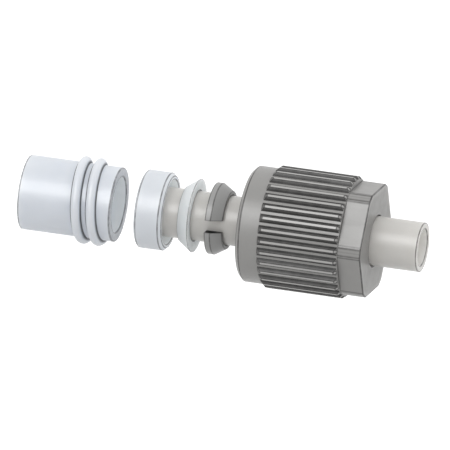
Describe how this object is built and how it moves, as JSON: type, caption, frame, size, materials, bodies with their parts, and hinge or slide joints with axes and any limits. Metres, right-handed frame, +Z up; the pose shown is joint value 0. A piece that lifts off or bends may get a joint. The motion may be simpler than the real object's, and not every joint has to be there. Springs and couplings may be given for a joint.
{
  "type": "laboratory screw joint",
  "caption": "Exploded tube joint: threaded glass end, sealing insert, sealing cone, split clamping ring, ribbed hexagon screw cap and plastic tube on one axis.",
  "frame": {"origin": "on the joint's axis, at the middle of the glass's cut end, where the glass vessel or tube run holds the joint", "axes": "+X along the joint's axis, from the glass end to the tube's free end; +Z up, out of one flat of the hexagon"},
  "size_m": [0.0658, 0.0198, 0.0198],
  "materials": {
    "glass": "pale, smooth, as opal glass",
    "insert": "smooth turned fluoropolymer, bluish white",
    "cone": "smooth turned fluoropolymer, greenish white",
    "ring": "satin grey moulded plastic",
    "cap": "satin grey moulded plastic",
    "tube": "extruded fluoropolymer, warm grey white"
  },
  "bodies": {
    "glass": {"threaded_glass_end": "glass"},
    "insert": {"sealing_insert": "insert"},
    "tube": {"tube": "tube"},
    "cone": {"sealing_cone": "cone"},
    "ring": {"clamping_ring": "ring"},
    "cap": {"screw_cap": "cap"}
  },
  "joints": [
    {"name": "insert_slide", "type": "slide", "parent": "glass", "child": "insert", "axis": [-1, 0, 0], "range_m": [0, 0.004]},
    {"name": "cap_turn", "type": "hinge", "parent": "insert", "child": "tube", "pos_m": [0, 0, 0], "axis": [-1, 0, 0], "range_deg": [0, 576]},
    {"name": "cone_slide", "type": "slide", "parent": "tube", "child": "cone", "axis": [-1, 0, 0], "range_m": [0, 0.00311]},
    {"name": "ring_slide", "type": "slide", "parent": "cone", "child": "ring", "axis": [-1, 0, 0], "range_m": [0, 0.00265]},
    {"name": "cap_slide", "type": "slide", "parent": "ring", "child": "cap", "axis": [-1, 0, 0], "range_m": [0, 0.0215]}
  ],
  "couplings": [
    {"joint": "insert_slide", "follows": "cap_turn", "m_per_rad": 0.00039788},
    {"joint": "ring_slide", "follows": "cone_slide", "ratio": 0.852}
  ]
}
